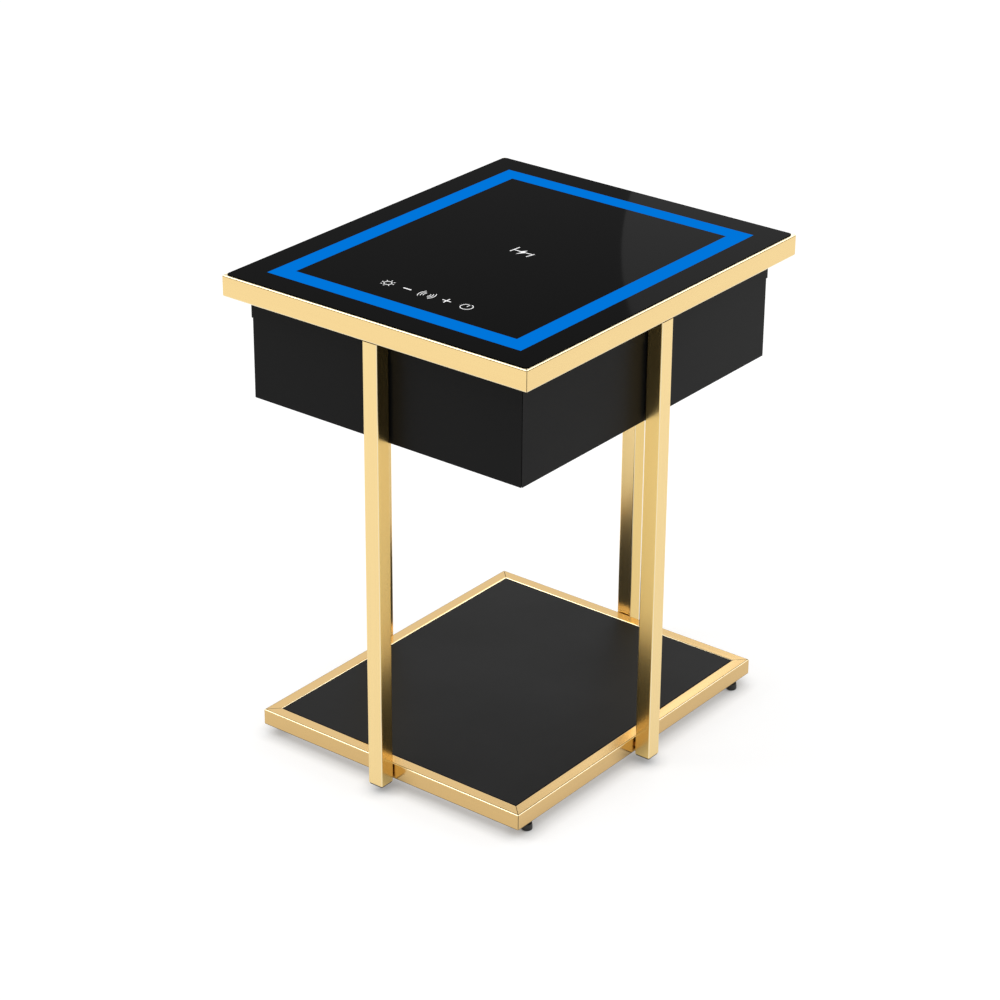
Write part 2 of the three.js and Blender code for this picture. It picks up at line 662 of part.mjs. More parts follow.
// Base frame, bosses for the posts, posts, plugs and bolts
const boltZ = shelfBottom - BOLT_BELOW_SHELF;
const postTop = frameBottom - FIT;
const plugTop = postBottom + PLUG_HEAD;
const footOffsetX = halfWidth - baseInset - RAIL_WIDTH / 2;
const footOffsetY = halfDepth - baseInset - FOOT_FROM_END;

// A round bar along Y from y0 to y1, through x = 0 at height z.
function crossBar(radius, y0, y1, z, sides = 20) {
  const geometry = new THREE.CylinderGeometry(radius, radius, y1 - y0, sides);
  return geometry.translate(0, (y0 + y1) / 2, z);
}

// Tube with a boss for the post. The left and right ones hold the nuts of the levelling feet.
function baseRail(side) {
  const section = tubeSection(RAIL_WIDTH, RAIL_HEIGHT, RAIL_WALL);
  const shift = { shiftY: RAIL_WIDTH / 2, shiftZ: RAIL_HEIGHT / 2 };
  const front = baseInset - side.reach;
  const tube = mitred(section, side.half - baseInset, shift).translate(0, front, RAIL_FLOOR_GAP);
  const add = [crossBar(BOSS_RADIUS, front - POST_GAP + FIT, front + RAIL_WALL / 2, boltZ)];
  const cut = [crossBar(BOLT_RADIUS + FIT, front - POST_GAP - 1, front + RAIL_WIDTH + 1, boltZ)];
  if (side.name === "right" || side.name === "left") {
    const middle = front + RAIL_WIDTH / 2;
    const nutBottom = RAIL_FLOOR_GAP + RAIL_WALL / 2;
    const nutTop = RAIL_FLOOR_GAP + RAIL_WALL + FOOT_NUT_HEIGHT;
    for (const x of [-footOffsetY, footOffsetY]) {
      add.push(bar(FOOT_NUT_RADIUS, nutBottom, nutTop, x, middle, 16));
      cut.push(bar(STEM_RADIUS + FIT, RAIL_FLOOR_GAP - 1, nutTop + 1, x, middle, 16));
    }
  }
  return shaped(tube, { add, cut });
}

function post(side) {
  const section = tubeSection(POST_SIZE, POST_SIZE, POST_WALL);
  const tube = new THREE.ExtrudeGeometry(section, { depth: postTop - plugTop - FIT, bevelEnabled: false });
  tube.translate(0, -side.reach + POST_SIZE / 2, plugTop + FIT);
  const inner = -side.reach + POST_SIZE;
  const hole = crossBar(BOLT_RADIUS + FIT, inner - 2 * POST_WALL, inner + 1, boltZ);
  return shaped(tube, { cut: [hole] });
}

// Plastic plug with a hollow stem inside the tube
function postPlug(side) {
  const half = POST_SIZE / 2;
  const stem = half - POST_WALL - FIT;
  const y = -side.reach + half;
  const boltClear = boltZ - BOLT_RADIUS - FIT - 1;
  const stemTop = Math.min(plugTop + PLUG_STEM, boltClear);
  const headSize = POST_SIZE - 2 * PLUG_INSET;
  const head = new THREE.ExtrudeGeometry(
    roundedRectangle(headSize, headSize, TUBE_EDGE_RADIUS),
    { depth: PLUG_HEAD, bevelEnabled: false },
  ).translate(0, y, postBottom);
  const hollow = stem - PLUG_WALL;
  return shaped(head, {
    add: [block(-stem, y - stem, postBottom + PLUG_HEAD / 2, stem, y + stem, stemTop)],
    cut: [block(-hollow, y - hollow, plugTop, hollow, y + hollow, stemTop + 1)],
  });
}

// Bolt from the inside of the rail, through it and its boss, into the post
function postBolt(side) {
  const inner = -(side.reach - baseInset) + RAIL_WIDTH;
  const shank = crossBar(BOLT_RADIUS, -side.reach + POST_SIZE - POST_WALL - BOLT_END, inner + FIT, boltZ);
  const head = crossBar(BOLT_HEAD_RADIUS, inner + FIT, inner + FIT + BOLT_HEAD_HEIGHT, boltZ, 6);
  return shaped(shank, { add: [head] });
}

for (const side of SIDES) {
  const group = sideGroup(side);
  place(`base_rail_${side.name}`, baseRail(side), MATERIALS.gold, group);
  place(`post_${side.name}`, post(side), MATERIALS.gold, group);
  place(`post_plug_${side.name}`, postPlug(side), MATERIALS.plastic, group);
  place(`post_bolt_${side.name}`, postBolt(side), MATERIALS.zinc, group);
}

// Shelf panel inside the base frame
const shelfHalfWidth = halfWidth - baseInset - RAIL_WIDTH - PANEL_GAP;
const shelfHalfDepth = halfDepth - baseInset - RAIL_WIDTH - PANEL_GAP;
place("shelf_panel",
  block(-shelfHalfWidth, -shelfHalfDepth, shelfBottom, shelfHalfWidth, shelfHalfDepth, shelfTop),
  MATERIALS.blackBoard);

// Corner plate that the shelf lies on, with its corner at the origin and its legs towards -X and -Y
function cornerPlate() {
  const outline = new THREE.Shape([
    new THREE.Vector2(0, 0),
    new THREE.Vector2(-PLATE_LEG, 0),
    new THREE.Vector2(-PLATE_LEG, -PLATE_LEG / 4),
    new THREE.Vector2(-PLATE_LEG / 4, -PLATE_LEG),
    new THREE.Vector2(0, -PLATE_LEG),
  ]);
  return new THREE.ExtrudeGeometry(outline, { depth: PLATE_THICKNESS, bevelEnabled: false });
}

// Pad of a levelling foot, with a socket that holds the end of the stem
function footPad() {
  const chamfer = 1;
  return turned([
    [0, 0],
    [FOOT_RADIUS - chamfer, 0],
    [FOOT_RADIUS, chamfer],
    [FOOT_RADIUS, FOOT_PAD_HEIGHT / 2],
    [FOOT_SOCKET_RADIUS + FOOT_SOCKET_WALL, FOOT_PAD_HEIGHT],
    [FOOT_SOCKET_RADIUS, FOOT_PAD_HEIGHT],
    [FOOT_SOCKET_RADIUS, FOOT_PAD_HEIGHT - FOOT_SOCKET_DEPTH],
    [0, FOOT_PAD_HEIGHT - FOOT_SOCKET_DEPTH],
  ], 20);
}

// Stem of a levelling foot: a round end in the socket, a hexagon to turn it by and the thread
function footStem() {
  const socketBottom = FOOT_PAD_HEIGHT - FOOT_SOCKET_DEPTH + FIT;
  const hexTop = RAIL_FLOOR_GAP - FIT;
  const hexBottom = hexTop - STEM_HEX_HEIGHT;
  const stemTop = railTop - RAIL_WALL - STEM_TOP_ROOM;
  const stem = bar(STEM_RADIUS, hexTop - STEM_HEX_HEIGHT / 2, stemTop, 0, 0, 16);
  const foot = bar(STEM_BALL_RADIUS, socketBottom, hexBottom + STEM_HEX_HEIGHT / 2, 0, 0, 16);
  const hexagon = bar(STEM_HEX_RADIUS, hexBottom, hexTop, 0, 0, 6);
  return shaped(stem, { add: [foot, hexagon] });
}

const plateCornerX = halfWidth - baseInset - RAIL_WIDTH - FIT;
const plateCornerY = halfDepth - baseInset - RAIL_WIDTH - FIT;
const plateGeometry = cornerPlate();
const padGeometry = footPad();
const stemGeometry = footStem();

// A mirrored copy keeps its faces pointing out because the order of each triangle is turned.
function mirrored(geometry, x, y) {
  const copy = mergeVertices(geometry).scale(x, y, 1);
  if (x * y < 0) copy.setIndex([...copy.index.array].reverse());
  return copy;
}

for (const corner of CORNERS) {
  const x = corner.x * footOffsetX;
  const y = corner.y * footOffsetY;
  const plate = mirrored(plateGeometry, corner.x, corner.y);
  place(`corner_plate_${corner.name}`, plate, MATERIALS.blackSteel)
    .position.set(corner.x * plateCornerX, corner.y * plateCornerY, plateBottom);
  place(`foot_pad_${corner.name}`, padGeometry, MATERIALS.plastic).position.set(x, y, 0);
  place(`foot_stem_${corner.name}`, stemGeometry, MATERIALS.blackSteel).position.set(x, y, 0);
}

export default table;
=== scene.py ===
"""Dresses the side table with its materials, lit band and printed marks, and sets floor, light and camera."""

import math

import bpy
from mathutils import Matrix, Vector

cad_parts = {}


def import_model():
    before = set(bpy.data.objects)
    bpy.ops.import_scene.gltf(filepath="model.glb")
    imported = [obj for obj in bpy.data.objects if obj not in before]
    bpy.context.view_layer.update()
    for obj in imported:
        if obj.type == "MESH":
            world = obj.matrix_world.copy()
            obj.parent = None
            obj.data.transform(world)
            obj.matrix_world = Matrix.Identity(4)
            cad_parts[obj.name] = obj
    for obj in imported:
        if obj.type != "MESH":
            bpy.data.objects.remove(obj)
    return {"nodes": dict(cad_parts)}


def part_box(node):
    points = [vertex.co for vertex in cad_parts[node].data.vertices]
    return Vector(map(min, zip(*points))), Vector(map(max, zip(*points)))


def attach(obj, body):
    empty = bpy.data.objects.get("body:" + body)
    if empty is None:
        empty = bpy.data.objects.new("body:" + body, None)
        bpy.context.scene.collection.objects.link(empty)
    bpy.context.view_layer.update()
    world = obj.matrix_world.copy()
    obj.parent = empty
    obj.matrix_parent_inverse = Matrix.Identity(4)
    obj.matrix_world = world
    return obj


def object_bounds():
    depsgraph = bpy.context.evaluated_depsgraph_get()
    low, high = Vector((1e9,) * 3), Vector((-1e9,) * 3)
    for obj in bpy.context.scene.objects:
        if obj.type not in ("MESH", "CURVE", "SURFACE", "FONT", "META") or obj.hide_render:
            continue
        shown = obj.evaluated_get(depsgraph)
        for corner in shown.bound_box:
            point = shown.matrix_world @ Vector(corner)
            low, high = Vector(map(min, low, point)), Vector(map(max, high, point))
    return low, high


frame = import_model()
cad_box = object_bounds()

# Lit band, a film on the glass that shows the light under it. All sizes are in metres
BAND_INSET = 0.035  # from the outside of the top frame
BAND_WIDTH = 0.022
FILM = 0.00015  # thickness of the lit film and of the printed marks

# Places of the touch marks and the charging mark, from the middle of the glass
KEY_PITCH = 0.0273
KEY_ROW_X = 0.0024
KEY_ROW_Y = -0.1564
CHARGE_MARK_X = 0.005
CHARGE_MARK_Y = 0.009

# Shapes of the marks, each from its own middle
ARC_STEPS = 24
SUN_RADIUS = 0.0045
SUN_LINE = 0.0008
SUN_RAYS = 8
SUN_RAY_START = 0.0064
SUN_RAY_END = 0.0081
SUN_RAY_LINE = 0.0010
MINUS_REACH = 0.0054
MINUS_LINE = 0.0017
PLUS_REACH = 0.0057
PLUS_LINE = 0.0012
SOUND_BOWS = ((0.0096, 0.0080), (0.0066, 0.0056), (0.0038, 0.0034))  # how far each one bulges and rises
SOUND_BOW_DEPTH = 0.33  # as a share of the rise
SOUND_LINE = 0.0007
POWER_RADIUS = 0.0071
POWER_GAP = 16  # half the gap at the top, in degrees
POWER_ARC_STEPS = 36
POWER_BAR_LOW = 0.0004
POWER_BAR_HIGH = 0.0058
POWER_LINE = 0.0008
CHARGE_LINE = 0.0012
CHARGE_STROKES = (
    ((-0.0134, -0.0062), (-0.0120, 0.0098)),
    ((0.0113, -0.0088), (0.0143, 0.0024)),
    ((-0.0119, 0.0003), (-0.0040, 0)),
    ((0.0040, 0), (0.0125, 0.0006)),
)
CHARGE_BOLT = (
    (0.0016, 0.0066),
    (-0.0042, -0.0010),
    (-0.0008, -0.0014),
    (-0.0032, -0.0090),
    (0.0042, 0.0008),
    (0.0008, 0.0014),
)

# Beads of glue in the mitres of the speaker box
BOX_LIP = 0.001  # how far the lip stands out from the walls
BEAD_WIDTH = 0.0005
BEAD_START = 0.002  # from the box's corner, along the mitre
BEAD_END = 0.015
BEAD_RECESS = 0.0005  # from the bottom of the walls
BEAD_HEIGHT = 0.0024

# Faces of the gold bars, told apart by height and by how their normals lean
FRAME_EDGE = 0.0015  # rounding of the top frame's outer edges
EDGE_MARGIN = 0.0001
LEVEL = 0.995  # upward share of the normal of the last facet before a level face
NEARLY_LEVEL = 0.9
HALFWAY = 0.5
UPRIGHT = 0.1
SQUARE_ON = 0.9  # share along an axis, above which a face looks along it
SMOOTH_DEGREES = 35  # edges that turn more stay sharp
FLAT_WEIGHT = 90  # of wide faces over narrow ones in the shading

# Wander and grain of the finishes
NOISE_LOW = 0.3  # the noise's usual spread
NOISE_HIGH = 0.7
NOISE_DETAIL = 4.0
NOISE_ROUGHNESS = 0.55
RELIEF_FINENESS = 4  # against the wander of the colour
GOLD_GRAIN_ACROSS = 160.0  # lines per metre
GOLD_GRAIN_ALONG = 3.0
GOLD_RELIEF = 0.000004
COAT_ROUGHNESS = 0.04
LAMP_DARKER = 0.9  # the darker paint as a share of the lighter
LAMP_GRAIN = 60.0
LAMP_ROUGHNESS = 0.3

# Floor, world and lamps
FLOOR_REACH = 8  # to each side
FLOOR_GREYS = (0.44, 0.46)
FLOOR_GRAIN = 2.0
FLOOR_ROUGHNESS = 0.9
FLOOR_SHINE = 0.1
FLOOR_GLOW = 0.64  # strength where it is seen
SHADOW_REACH = 0.022  # of the darker floor close under the table
WORLD_SEEN = 1.0  # strength where it is seen
WORLD_LIGHT = 0.82  # strength as light on surfaces
TABLE_MIDDLE = (0, 0, 0.3)
GLOW_SPOT = (0.15, 0.1, 0.58)  # where the glass mirrors the small lamp

# Camera, fitted to the edges of the table in the photograph
CAMERA_PLACE = Vector((1.8807, -2.4403, 1.7677))
CAMERA_TURN = 0.6612  # round Z, from looking along +Y
CAMERA_DIP = 0.4511  # below the horizon
CAMERA_ROLL = 0.0070
FOCAL_PIXELS = 2959.4
FRAME_PIXELS = 1000
SENSOR_MM = 36.0

# Signs of x and y at each corner, and the axis that each side runs along
CORNERS = {"front_left": (-1, -1), "front_right": (1, -1), "back_right": (1, 1), "back_left": (-1, 1)}
SIDE_AXIS = {"front": "X", "back": "X", "left": "Y", "right": "Y"}

# Places taken from the frame
frame_high = Vector(cad_box[1])
glass_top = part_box("glass_top")[1][2]
box_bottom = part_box("box_wall_front")[0][2]
box_half_x = -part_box("box_wall_left")[0][0] - BOX_LIP
box_half_y = -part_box("box_wall_front")[0][1] - BOX_LIP

# Materials


def new_material(name):
    material = bpy.data.materials.new(name)
    material.use_nodes = True
    tree = material.node_tree
    shader = tree.nodes["Principled BSDF"]
    return material, tree, shader


def noise(tree, grain, stretch=(1, 1, 1)):
    """A noise texture in the object's own metres, stretched along the axes given."""
    place = tree.nodes.new("ShaderNodeTexCoord")
    mapping = tree.nodes.new("ShaderNodeMapping")
    mapping.inputs["Scale"].default_value = stretch
    texture = tree.nodes.new("ShaderNodeTexNoise")
    texture.inputs["Scale"].default_value = grain
    texture.inputs["Detail"].default_value = NOISE_DETAIL
    texture.inputs["Roughness"].default_value = NOISE_ROUGHNESS
    tree.links.new(place.outputs["Object"], mapping.inputs["Vector"])
    tree.links.new(mapping.outputs["Vector"], texture.inputs["Vector"])
    return texture.outputs["Fac"]


def number_between(tree, value, low, high):
    """Maps the noise's usual spread to between low and high."""
    node = tree.nodes.new("ShaderNodeMapRange")
    node.inputs["From Min"].default_value = NOISE_LOW
    node.inputs["From Max"].default_value = NOISE_HIGH
    node.inputs["To Min"].default_value = low
    node.inputs["To Max"].default_value = high
    tree.links.new(value, node.inputs["Value"])
    return node.outputs["Result"]


def colour_between(tree, value, first, second):
    node = tree.nodes.new("ShaderNodeMix")
    node.data_type = "RGBA"
    node.inputs["A"].default_value = (*first, 1)
    node.inputs["B"].default_value = (*second, 1)
    tree.links.new(value, node.inputs["Factor"])
    return node.outputs["Result"]


def bump(tree, shader, value, distance):
    node = tree.nodes.new("ShaderNodeBump")
    node.inputs["Distance"].default_value = distance
    tree.links.new(value, node.inputs["Height"])
    tree.links.new(node.outputs["Normal"], shader.inputs["Normal"])


def surface(name, first, second, grain, rough, metal=0.0, stretch=(1, 1, 1), relief=0.0, coat=0.0, shine=0.5):
    """A finish whose colour and roughness wander between two values, with a fine relief."""
    material, tree, shader = new_material(name)
    value = noise(tree, grain, stretch)
    tree.links.new(colour_between(tree, value, first, second), shader.inputs["Base Color"])
    tree.links.new(number_between(tree, value, *rough), shader.inputs["Roughness"])
    shader.inputs["Metallic"].default_value = metal
    shader.inputs["Specular IOR Level"].default_value = shine
    if relief:
        bump(tree, shader, noise(tree, grain * RELIEF_FINENESS, stretch), relief)
    if coat:
        shader.inputs["Coat Weight"].default_value = coat
        shader.inputs["Coat Roughness"].default_value = COAT_ROUGHNESS
    return material


def gold(name, along, first, second, rough):
    """Gold plating over a fine grain that runs along the bar."""
    stretch = [GOLD_GRAIN_ACROSS] * 3
    stretch["XYZ".index(along)] = GOLD_GRAIN_ALONG
    return surface(name, first, second, 1.0, rough, metal=1.0, stretch=stretch, relief=GOLD_RELIEF)


def lamp(name, glow, paint, strength):
    """A surface that shines by itself, over a paint that wanders slightly."""
    material, tree, shader = new_material(name)
    darker = [LAMP_DARKER * channel for channel in paint]
    tree.links.new(colour_between(tree, noise(tree, LAMP_GRAIN), paint, darker), shader.inputs["Base Color"])
    shader.inputs["Emission Color"].default_value = (*glow, 1)
    shader.inputs["Emission Strength"].default_value = strength
    shader.inputs["Roughness"].default_value = LAMP_ROUGHNESS
    shader.inputs["Specular IOR Level"].default_value = 0.0
    return material


def frame_gold(axis):
    name = f"frame_gold_along_{axis.lower()}"
    return gold(name, axis, (0.82, 0.595, 0.268), (0.87, 0.65, 0.298), rough=(0.13, 0.19))


# The base rails get a darker copy of the frame's gold: painted shade for the dimmer floor they mirror close
# under the table
def shaded_rail_gold(axis):
    name = f"rail_gold_painted_shade_along_{axis.lower()}"
    return gold(name, axis, (0.65, 0.435, 0.182), (0.695, 0.48, 0.208), rough=(0.13, 0.19))


FRAME_GOLD = {axis: frame_gold(axis) for axis in "XY"}
SHADED_RAIL_GOLD = {axis: shaded_rail_gold(axis) for axis in "XY"}
POST_GOLD = gold("post_gold", "Z", (0.85, 0.635, 0.295), (0.89, 0.675, 0.32), rough=(0.22, 0.25))
# A darker gold for the posts' side faces: painted shade
POST_SIDE_SHADE_GOLD = gold("post_side_painted_shade", "Z", (0.76, 0.54, 0.20), (0.80, 0.58, 0.22), rough=(0.24, 0.27))
# A paler, brighter gold with a rougher finish on the rounded edges of the bars: a painted highlight
HIGHLIGHT_GOLD = surface(
    "painted_highlight_edge", (0.90, 0.77, 0.50), (0.93, 0.81, 0.55), grain=90, rough=(0.30, 0.36), metal=1.0
)
# A thin dark gold line next to the highlights and along the undersides of the bars: painted shade
SHADE_LINE_GOLD = surface(
    "painted_shade_line", (0.22, 0.14, 0.05), (0.26, 0.17, 0.06), grain=90, rough=(0.3, 0.4), metal=1.0
)
# Near-black cut faces inside the mitre gaps of the frame and the rails: painted shade
SHADED_SEAM = surface(
    "seam_painted_shade", (0.020, 0.012, 0.006), (0.035, 0.022, 0.010), grain=300, rough=(0.6, 0.8), metal=0.5
)
BLACK_LACQUER = surface(
    "black_lacquer", (0.006,) * 3, (0.008,) * 3, grain=9, rough=(0.34, 0.42), relief=0.00001, shine=0.076
)
SHELF_LACQUER = surface(
    "shelf_lacquer", (0.004,) * 3, (0.006,) * 3, grain=7, rough=(0.48, 0.54), relief=0.00001, shine=0.116
)
GLASS = surface("black_glass", (0.001,) * 3, (0.0015,) * 3, grain=3, rough=(0.04, 0.06), shine=0.0044)
RAW_BOARD = surface(
    "raw_board", (0.36, 0.25, 0.15), (0.46, 0.33, 0.21), grain=260, rough=(0.75, 0.9), relief=0.00005
)
TAPE = surface("lamp_tape", (0.74, 0.74, 0.70), (0.82, 0.82, 0.79), grain=120, rough=(0.4, 0.5))
CIRCUIT = surface(
    "circuit_board", (0.010, 0.085, 0.035), (0.020, 0.13, 0.055), grain=180, rough=(0.35, 0.5), coat=0.3
)
COPPER = surface(
    "copper_winding", (0.52, 0.19, 0.07), (0.66, 0.28, 0.12), grain=300, rough=(0.25, 0.35), metal=1.0
)
FERRITE = surface(
    "ferrite", (0.04, 0.04, 0.045), (0.07, 0.07, 0.075), grain=400, rough=(0.6, 0.75), relief=0.00003
)
BLACK_STEEL = surface(
    "black_steel",
    (0.014, 0.014, 0.015),
    (0.022, 0.022, 0.023),
    grain=500,
    rough=(0.38, 0.5),
    metal=0.2,
    relief=0.00002,
)
CONE = surface(
    "speaker_cone", (0.018, 0.018, 0.019), (0.034, 0.034, 0.036), grain=700, rough=(0.8, 0.92), relief=0.00006
)
PLASTIC = surface("black_plastic", (0.010,) * 3, (0.016,) * 3, grain=900, rough=(0.5, 0.62), relief=0.00003)
ZINC = surface(
    "zinc", (0.52, 0.53, 0.54), (0.66, 0.67, 0.68), grain=240, rough=(0.25, 0.4), metal=1.0, relief=0.00001
)
BLUE_LIGHT = lamp("blue_light", glow=(0.0, 0.178, 0.70), paint=(0.0, 0.002, 0.01), strength=1.0)
# The printed marks shine by themselves: a painted glow that makes the grey print white
GLOWING_PRINT = lamp("print_painted_glow", glow=(1.0, 1.0, 1.0), paint=(0.3, 0.3, 0.3), strength=0.85)

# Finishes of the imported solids


def dress(obj, material):
    """Gives the whole object one material."""
    if obj.data.materials:
        for index in range(len(obj.data.materials)):
            obj.data.materials[index] = material
    else:
        obj.data.materials.append(material)


def round_shading(obj):
    """Shades rounded edges smoothly and keeps wide flats flat."""
    obj.data.shade_smooth()
    obj.data.set_sharp_from_angle(angle=math.radians(SMOOTH_DEGREES))
    modifier = obj.modifiers.new("flat_faces", "WEIGHTED_NORMAL")
    modifier.keep_sharp = True
    modifier.weight = FLAT_WEIGHT


def finish_faces(obj, material, test):
    """Gives another material to the faces whose middle and normal pass the test."""
    obj.data.materials.append(material)
    slot = len(obj.data.materials) - 1
    for face in obj.data.polygons:
        if test(face.center, face.normal):
            face.material_index = slot


def faces_out(place, normal):
    return place.x * normal.x + place.y * normal.y > 0


def is_mitre(place, normal):
    return abs(normal.z) < UPRIGHT and abs(abs(normal.x) - abs(normal.y)) < UPRIGHT


def finish_top_frame(obj):
    """Painted highlights on the rim and the lower edge, a dark line of painted shade under the rim, and seams
    darkened with painted shade.
    """
    low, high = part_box(obj.name)
    rim = high[2] - FRAME_EDGE - EDGE_MARGIN
    sill = low[2] + FRAME_EDGE + EDGE_MARGIN

    def is_rim(place, normal):
        return place.z > rim and normal.z > HALFWAY

    def is_lower_edge(place, normal):
        return place.z < sill and -LEVEL < normal.z < -UPRIGHT

    def is_line(place, normal):
        return place.z > rim and UPRIGHT < normal.z < HALFWAY and faces_out(place, normal)

    finish_faces(obj, HIGHLIGHT_GOLD, is_rim)
    finish_faces(obj, HIGHLIGHT_GOLD, is_lower_edge)
    finish_faces(obj, SHADE_LINE_GOLD, is_line)
    finish_faces(obj, SHADED_SEAM, is_mitre)


def finish_base_rail(obj):
    """A painted highlight on the rounded top edges, a dark line of painted shade above the outer one and
    another along the bottom, and seams darkened with painted shade.
    """

    def is_highlight(place, normal):
        return HALFWAY < normal.z < NEARLY_LEVEL

    def is_upper_line(place, normal):
        return NEARLY_LEVEL < normal.z < LEVEL and faces_out(place, normal)

    def is_lower_line(place, normal):
        return -LEVEL < normal.z < -UPRIGHT

    finish_faces(obj, HIGHLIGHT_GOLD, is_highlight)
    finish_faces(obj, SHADE_LINE_GOLD, is_upper_line)
    finish_faces(obj, SHADE_LINE_GOLD, is_lower_line)
    finish_faces(obj, SHADED_SEAM, is_mitre)


def finish_post(obj, side):
    """Painted highlights on the upright edges, and on the two faces between the outer and the inner one a
    darker, slightly rougher gold whose darkness is painted shade.
    """
    across = "XY".index(SIDE_AXIS[side])

    def is_side(place, normal):
        return abs(normal[across]) > SQUARE_ON

    finish_faces(obj, POST_SIDE_SHADE_GOLD, is_side)
    finish_faces(obj, HIGHLIGHT_GOLD, is_mitre)


SINGLE_NODES = {
    "glass_top": GLASS,
    "carrier_board": RAW_BOARD,
    "touch_board": CIRCUIT,
    "amplifier_board": CIRCUIT,
    "charging_coil": COPPER,
    "charging_ferrite": FERRITE,
    "box_floor": BLACK_LACQUER,
    "shelf_panel": SHELF_LACQUER,
    "power_inlet": PLASTIC,
}
FAMILIES = {
    "light_guide": BLUE_LIGHT,
    "led_tape": TAPE,
    "box_wall": BLACK_LACQUER,
    "speaker_chassis": BLACK_STEEL,
    "speaker_grille": BLACK_STEEL,
    "speaker_cone": CONE,
    "corner_plate": BLACK_STEEL,
    "post_plug": PLASTIC,
    "post_bolt": ZINC,
    "foot_pad": PLASTIC,
    "foot_stem": BLACK_STEEL,
}


def dress_nodes():
    for name, obj in frame["nodes"].items():
        family, _, side = name.rpartition("_")
        if name in SINGLE_NODES:
            dress(obj, SINGLE_NODES[name])
        elif family == "top_frame":
            dress(obj, FRAME_GOLD[SIDE_AXIS[side]])
            finish_top_frame(obj)
        elif family == "base_rail":
            dress(obj, SHADED_RAIL_GOLD[SIDE_AXIS[side]])
            finish_base_rail(obj)
        elif family == "post":
            dress(obj, POST_GOLD)
            finish_post(obj, side)
        else:
            dress(obj, next(FAMILIES[start] for start in FAMILIES if name.startswith(start)))
        round_shading(obj)


# Lit band, printed marks and glue beads


def raised(name, outlines, bottom, height, material):
    """A piece of the table with a level top, from outlines of (x, y) points, each counter-clockwise."""
    points = []
    faces = []
    for outline in outlines:
        count = len(outline)
        low = len(points)
        high = low + count
        points += [(x, y, bottom) for x, y in outline]
        points += [(x, y, bottom + height) for x, y in outline]
        faces.append(range(high - 1, low - 1, -1))
        faces.append(range(high, high + count))
        for index in range(count):
            following = (index + 1) % count
            faces.append((low + index, low + following, high + following, high + index))
    mesh = bpy.data.meshes.new(name)
    mesh.from_pydata(points, [], faces)
    obj = bpy.data.objects.new(name, mesh)
    bpy.context.scene.collection.objects.link(obj)
    dress(obj, material)
    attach(obj, "table")


def light_band():
    """Four mitred strips of lit film, each from one corner of the band to the next."""
    outer_x = frame_high.x - BAND_INSET
    outer_y = frame_high.y - BAND_INSET
    outer = [(x * outer_x, y * outer_y) for x, y in CORNERS.values()]
    inner = [(x * (outer_x - BAND_WIDTH), y * (outer_y - BAND_WIDTH)) for x, y in CORNERS.values()]
    strips = []
    for index in range(len(outer)):
        following = (index + 1) % len(outer)
        strips.append([outer[index], outer[following], inner[following], inner[index]])
    raised("light_band", strips, glass_top, FILM, BLUE_LIGHT)


def stroke(x0, y0, x1, y1, width):
    """A straight line with square ends."""
    along = Vector((x1 - x0, y1 - y0)).normalized()
    side = Vector((-along.y, along.x)) * (width / 2)
    return [
        (x0 - side.x, y0 - side.y),
        (x1 - side.x, y1 - side.y),
        (x1 + side.x, y1 + side.y),
        (x0 + side.x, y0 + side.y),
    ]


def corner_beads():
    """The glue that closes the mitres between the walls of the speaker box, under its floor panel."""
    bottom = box_bottom + BEAD_RECESS
    for corner, (x, y) in CORNERS.items():
        edge = Vector((x * box_half_x, y * box_half_y))
        inwards = Vector((-x, -y)).normalized()
        outline = stroke(*(edge + inwards * BEAD_START), *(edge + inwards * BEAD_END), BEAD_WIDTH)
        raised(f"corner_bead_{corner}", [outline], bottom, BEAD_HEIGHT, BLACK_LACQUER)


def bow(x, y, radius, start, end, width, steps=ARC_STEPS):
    """Short four-sided pieces along an arc, from one angle up to another, in degrees."""
    inner = radius - width / 2
    outer = radius + width / 2
    pieces = []
    for index in range(steps):
        a = math.radians(start + (end - start) * index / steps)
        b = math.radians(start + (end - start) * (index + 1) / steps)
        pieces.append([
            (x + inner * math.cos(a), y + inner * math.sin(a)),
            (x + outer * math.cos(a), y + outer * math.sin(a)),
            (x + outer * math.cos(b), y + outer * math.sin(b)),
            (x + inner * math.cos(b), y + inner * math.sin(b)),
        ])
    return pieces


def sun_mark(x, y):
    pieces = bow(x, y, SUN_RADIUS, 0, 360, SUN_LINE)
    for index in range(SUN_RAYS):
        angle = math.radians(360 / SUN_RAYS * index)
        start_x = x + SUN_RAY_START * math.cos(angle)
        start_y = y + SUN_RAY_START * math.sin(angle)
        end_x = x + SUN_RAY_END * math.cos(angle)
        end_y = y + SUN_RAY_END * math.sin(angle)
        pieces.append(stroke(start_x, start_y, end_x, end_y, SUN_RAY_LINE))
    return pieces


def minus_mark(x, y):
    return [stroke(x - MINUS_REACH, y, x + MINUS_REACH, y, MINUS_LINE)]


def plus_mark(x, y):
    """A bar across, with a piece of the upright above it and another below."""
    return [
        stroke(x - PLUS_REACH, y, x + PLUS_REACH, y, PLUS_LINE),
        stroke(x, y - PLUS_REACH, x, y - PLUS_LINE / 2, PLUS_LINE),
        stroke(x, y + PLUS_LINE / 2, x, y + PLUS_REACH, PLUS_LINE),
    ]


def sound_mark(x, y):
    """Three bows on each side."""
    pieces = []
    for bulge, rise in SOUND_BOWS:
        depth = SOUND_BOW_DEPTH * rise
        radius = (rise**2 + depth**2) / (2 * depth)
        span = math.degrees(math.asin(rise / radius))
        pieces += bow(x + bulge - radius, y, radius, -span, span, SOUND_LINE)
        pieces += bow(x - bulge + radius, y, radius, 180 - span, 180 + span, SOUND_LINE)
    return pieces


